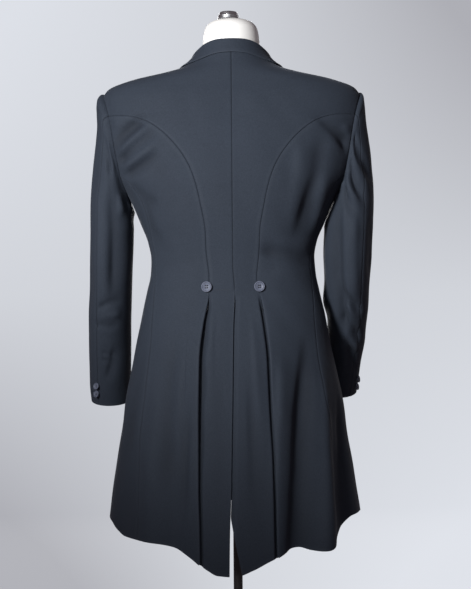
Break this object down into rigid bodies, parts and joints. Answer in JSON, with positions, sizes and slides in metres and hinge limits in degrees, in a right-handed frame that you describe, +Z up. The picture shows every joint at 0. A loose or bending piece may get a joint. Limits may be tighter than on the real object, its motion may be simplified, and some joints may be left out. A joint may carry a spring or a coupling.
{
  "type": "frock coat on dress form",
  "caption": "Knee-length tailored coat with fall collar, notched lapels, pleated and vented skirt, on a limbless dress form with pole and round base.",
  "frame": {"origin": "centre of the stand base's underside, on the floor", "axes": "+Z up; the coat's front faces -Y and its back +Y; the wearer's left is +X"},
  "size_m": [0.5652, 0.4223, 1.5813],
  "materials": {
    "wool": "fine dark navy wool, matt with a soft nap",
    "horn": "horn-look button, satin",
    "form": "smooth off-white",
    "cap": "turned metal, satin",
    "stand": "black paint, satin"
  },
  "bodies": {
    "root": {"back_left": "wool", "back_right": "wool", "side_left": "wool", "side_right": "wool", "front_left": "wool", "front_right": "wool", "lapel_left": "wool", "lapel_right": "wool", "collar": "wool", "upper_sleeve_left": "wool", "upper_sleeve_right": "wool", "under_sleeve_left": "wool", "under_sleeve_right": "wool", "waist_button_left": "horn", "waist_button_right": "horn", "cuff_button_left_upper": "horn", "cuff_button_left_lower": "horn", "cuff_button_right_upper": "horn", "cuff_button_right_lower": "horn", "front_button_top": "horn", "front_button_middle": "horn", "front_button_bottom": "horn", "dress_form": "form", "neck_cap": "cap", "pole": "stand", "base": "stand"}
  },
  "joints": []
}
